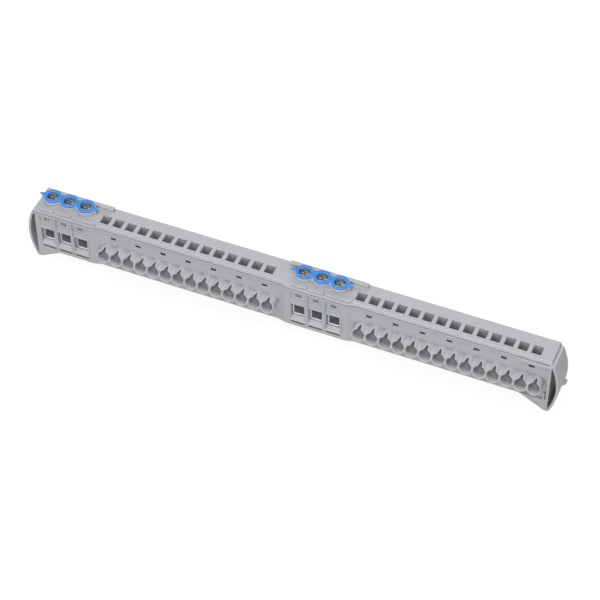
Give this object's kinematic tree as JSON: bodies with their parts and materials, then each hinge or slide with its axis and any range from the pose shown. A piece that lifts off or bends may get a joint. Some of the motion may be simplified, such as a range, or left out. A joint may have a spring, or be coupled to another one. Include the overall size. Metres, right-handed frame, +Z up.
{
  "type": "neutral terminal block",
  "caption": "Long grey terminal block for neutral conductors: push-in entries with release windows, screw clamps under blue marker strips, bowed clip leaves at the ends.",
  "frame": {"origin": "middle of the base plane, at the feet's underside", "axes": "+X along the row to the right as seen from the entries, -Y towards the entries, +Z up"},
  "size_m": [0.227, 0.0176, 0.0293],
  "materials": {
    "grey_plastic": "fine satin moulding",
    "blue_plastic": "satin",
    "zinc_steel": "bright zinc plate",
    "screw_steel": "dull passivated zinc plate",
    "spring_steel": "bright",
    "brass": "plain"
  },
  "bodies": {
    "block": {"housing": "grey_plastic", "cover": "grey_plastic", "bus_bar": "brass", "marker_strip_1": "blue_plastic", "marker_strip_2": "blue_plastic", "push_spring_1": "spring_steel", "push_spring_2": "spring_steel", "push_spring_3": "spring_steel", "push_spring_4": "spring_steel", "push_spring_5": "spring_steel", "push_spring_6": "spring_steel", "push_spring_7": "spring_steel", "push_spring_8": "spring_steel", "push_spring_9": "spring_steel", "push_spring_10": "spring_steel", "push_spring_11": "spring_steel", "push_spring_12": "spring_steel", "push_spring_13": "spring_steel", "push_spring_14": "spring_steel", "push_spring_15": "spring_steel", "push_spring_16": "spring_steel", "push_spring_17": "spring_steel", "push_spring_18": "spring_steel", "push_spring_19": "spring_steel", "push_spring_20": "spring_steel", "push_spring_21": "spring_steel", "push_spring_22": "spring_steel", "push_spring_23": "spring_steel", "push_spring_24": "spring_steel", "push_spring_25": "spring_steel", "push_spring_26": "spring_steel", "push_spring_27": "spring_steel", "push_spring_28": "spring_steel"},
    "screw_1": {"clamp_screw_1": "screw_steel"},
    "cage_1": {"clamp_cage_1": "zinc_steel"},
    "screw_2": {"clamp_screw_2": "screw_steel"},
    "cage_2": {"clamp_cage_2": "zinc_steel"},
    "screw_3": {"clamp_screw_3": "screw_steel"},
    "cage_3": {"clamp_cage_3": "zinc_steel"},
    "screw_4": {"clamp_screw_4": "screw_steel"},
    "cage_4": {"clamp_cage_4": "zinc_steel"},
    "screw_5": {"clamp_screw_5": "screw_steel"},
    "cage_5": {"clamp_cage_5": "zinc_steel"},
    "screw_6": {"clamp_screw_6": "screw_steel"},
    "cage_6": {"clamp_cage_6": "zinc_steel"}
  },
  "joints": [
    {"name": "screw_1_turn", "type": "hinge", "parent": "block", "child": "screw_1", "pos_m": [-0.10405, 0.00317, 0], "axis": [0, 0, 1], "range_deg": [-2265, 0]},
    {"name": "cage_1_rise", "type": "slide", "parent": "block", "child": "cage_1", "axis": [0, 0, 1], "range_m": [0, 0.0044]},
    {"name": "screw_2_turn", "type": "hinge", "parent": "block", "child": "screw_2", "pos_m": [-0.0966, 0.00317, 0], "axis": [0, 0, 1], "range_deg": [-2265, 0]},
    {"name": "cage_2_rise", "type": "slide", "parent": "block", "child": "cage_2", "axis": [0, 0, 1], "range_m": [0, 0.0044]},
    {"name": "screw_3_turn", "type": "hinge", "parent": "block", "child": "screw_3", "pos_m": [-0.08915, 0.00317, 0], "axis": [0, 0, 1], "range_deg": [-2265, 0]},
    {"name": "cage_3_rise", "type": "slide", "parent": "block", "child": "cage_3", "axis": [0, 0, 1], "range_m": [0, 0.0044]},
    {"name": "screw_4_turn", "type": "hinge", "parent": "block", "child": "screw_4", "pos_m": [0.00595, 0.00317, 0], "axis": [0, 0, 1], "range_deg": [-2265, 0]},
    {"name": "cage_4_rise", "type": "slide", "parent": "block", "child": "cage_4", "axis": [0, 0, 1], "range_m": [0, 0.0044]},
    {"name": "screw_5_turn", "type": "hinge", "parent": "block", "child": "screw_5", "pos_m": [0.0134, 0.00317, 0], "axis": [0, 0, 1], "range_deg": [-2265, 0]},
    {"name": "cage_5_rise", "type": "slide", "parent": "block", "child": "cage_5", "axis": [0, 0, 1], "range_m": [0, 0.0044]},
    {"name": "screw_6_turn", "type": "hinge", "parent": "block", "child": "screw_6", "pos_m": [0.02085, 0.00317, 0], "axis": [0, 0, 1], "range_deg": [-2265, 0]},
    {"name": "cage_6_rise", "type": "slide", "parent": "block", "child": "cage_6", "axis": [0, 0, 1], "range_m": [0, 0.0044]}
  ],
  "couplings": [
    {"joint": "screw_1_turn", "follows": "cage_1_rise", "rad_per_m": -8976},
    {"joint": "screw_2_turn", "follows": "cage_2_rise", "rad_per_m": -8976},
    {"joint": "screw_3_turn", "follows": "cage_3_rise", "rad_per_m": -8976},
    {"joint": "screw_4_turn", "follows": "cage_4_rise", "rad_per_m": -8976},
    {"joint": "screw_5_turn", "follows": "cage_5_rise", "rad_per_m": -8976},
    {"joint": "screw_6_turn", "follows": "cage_6_rise", "rad_per_m": -8976}
  ]
}
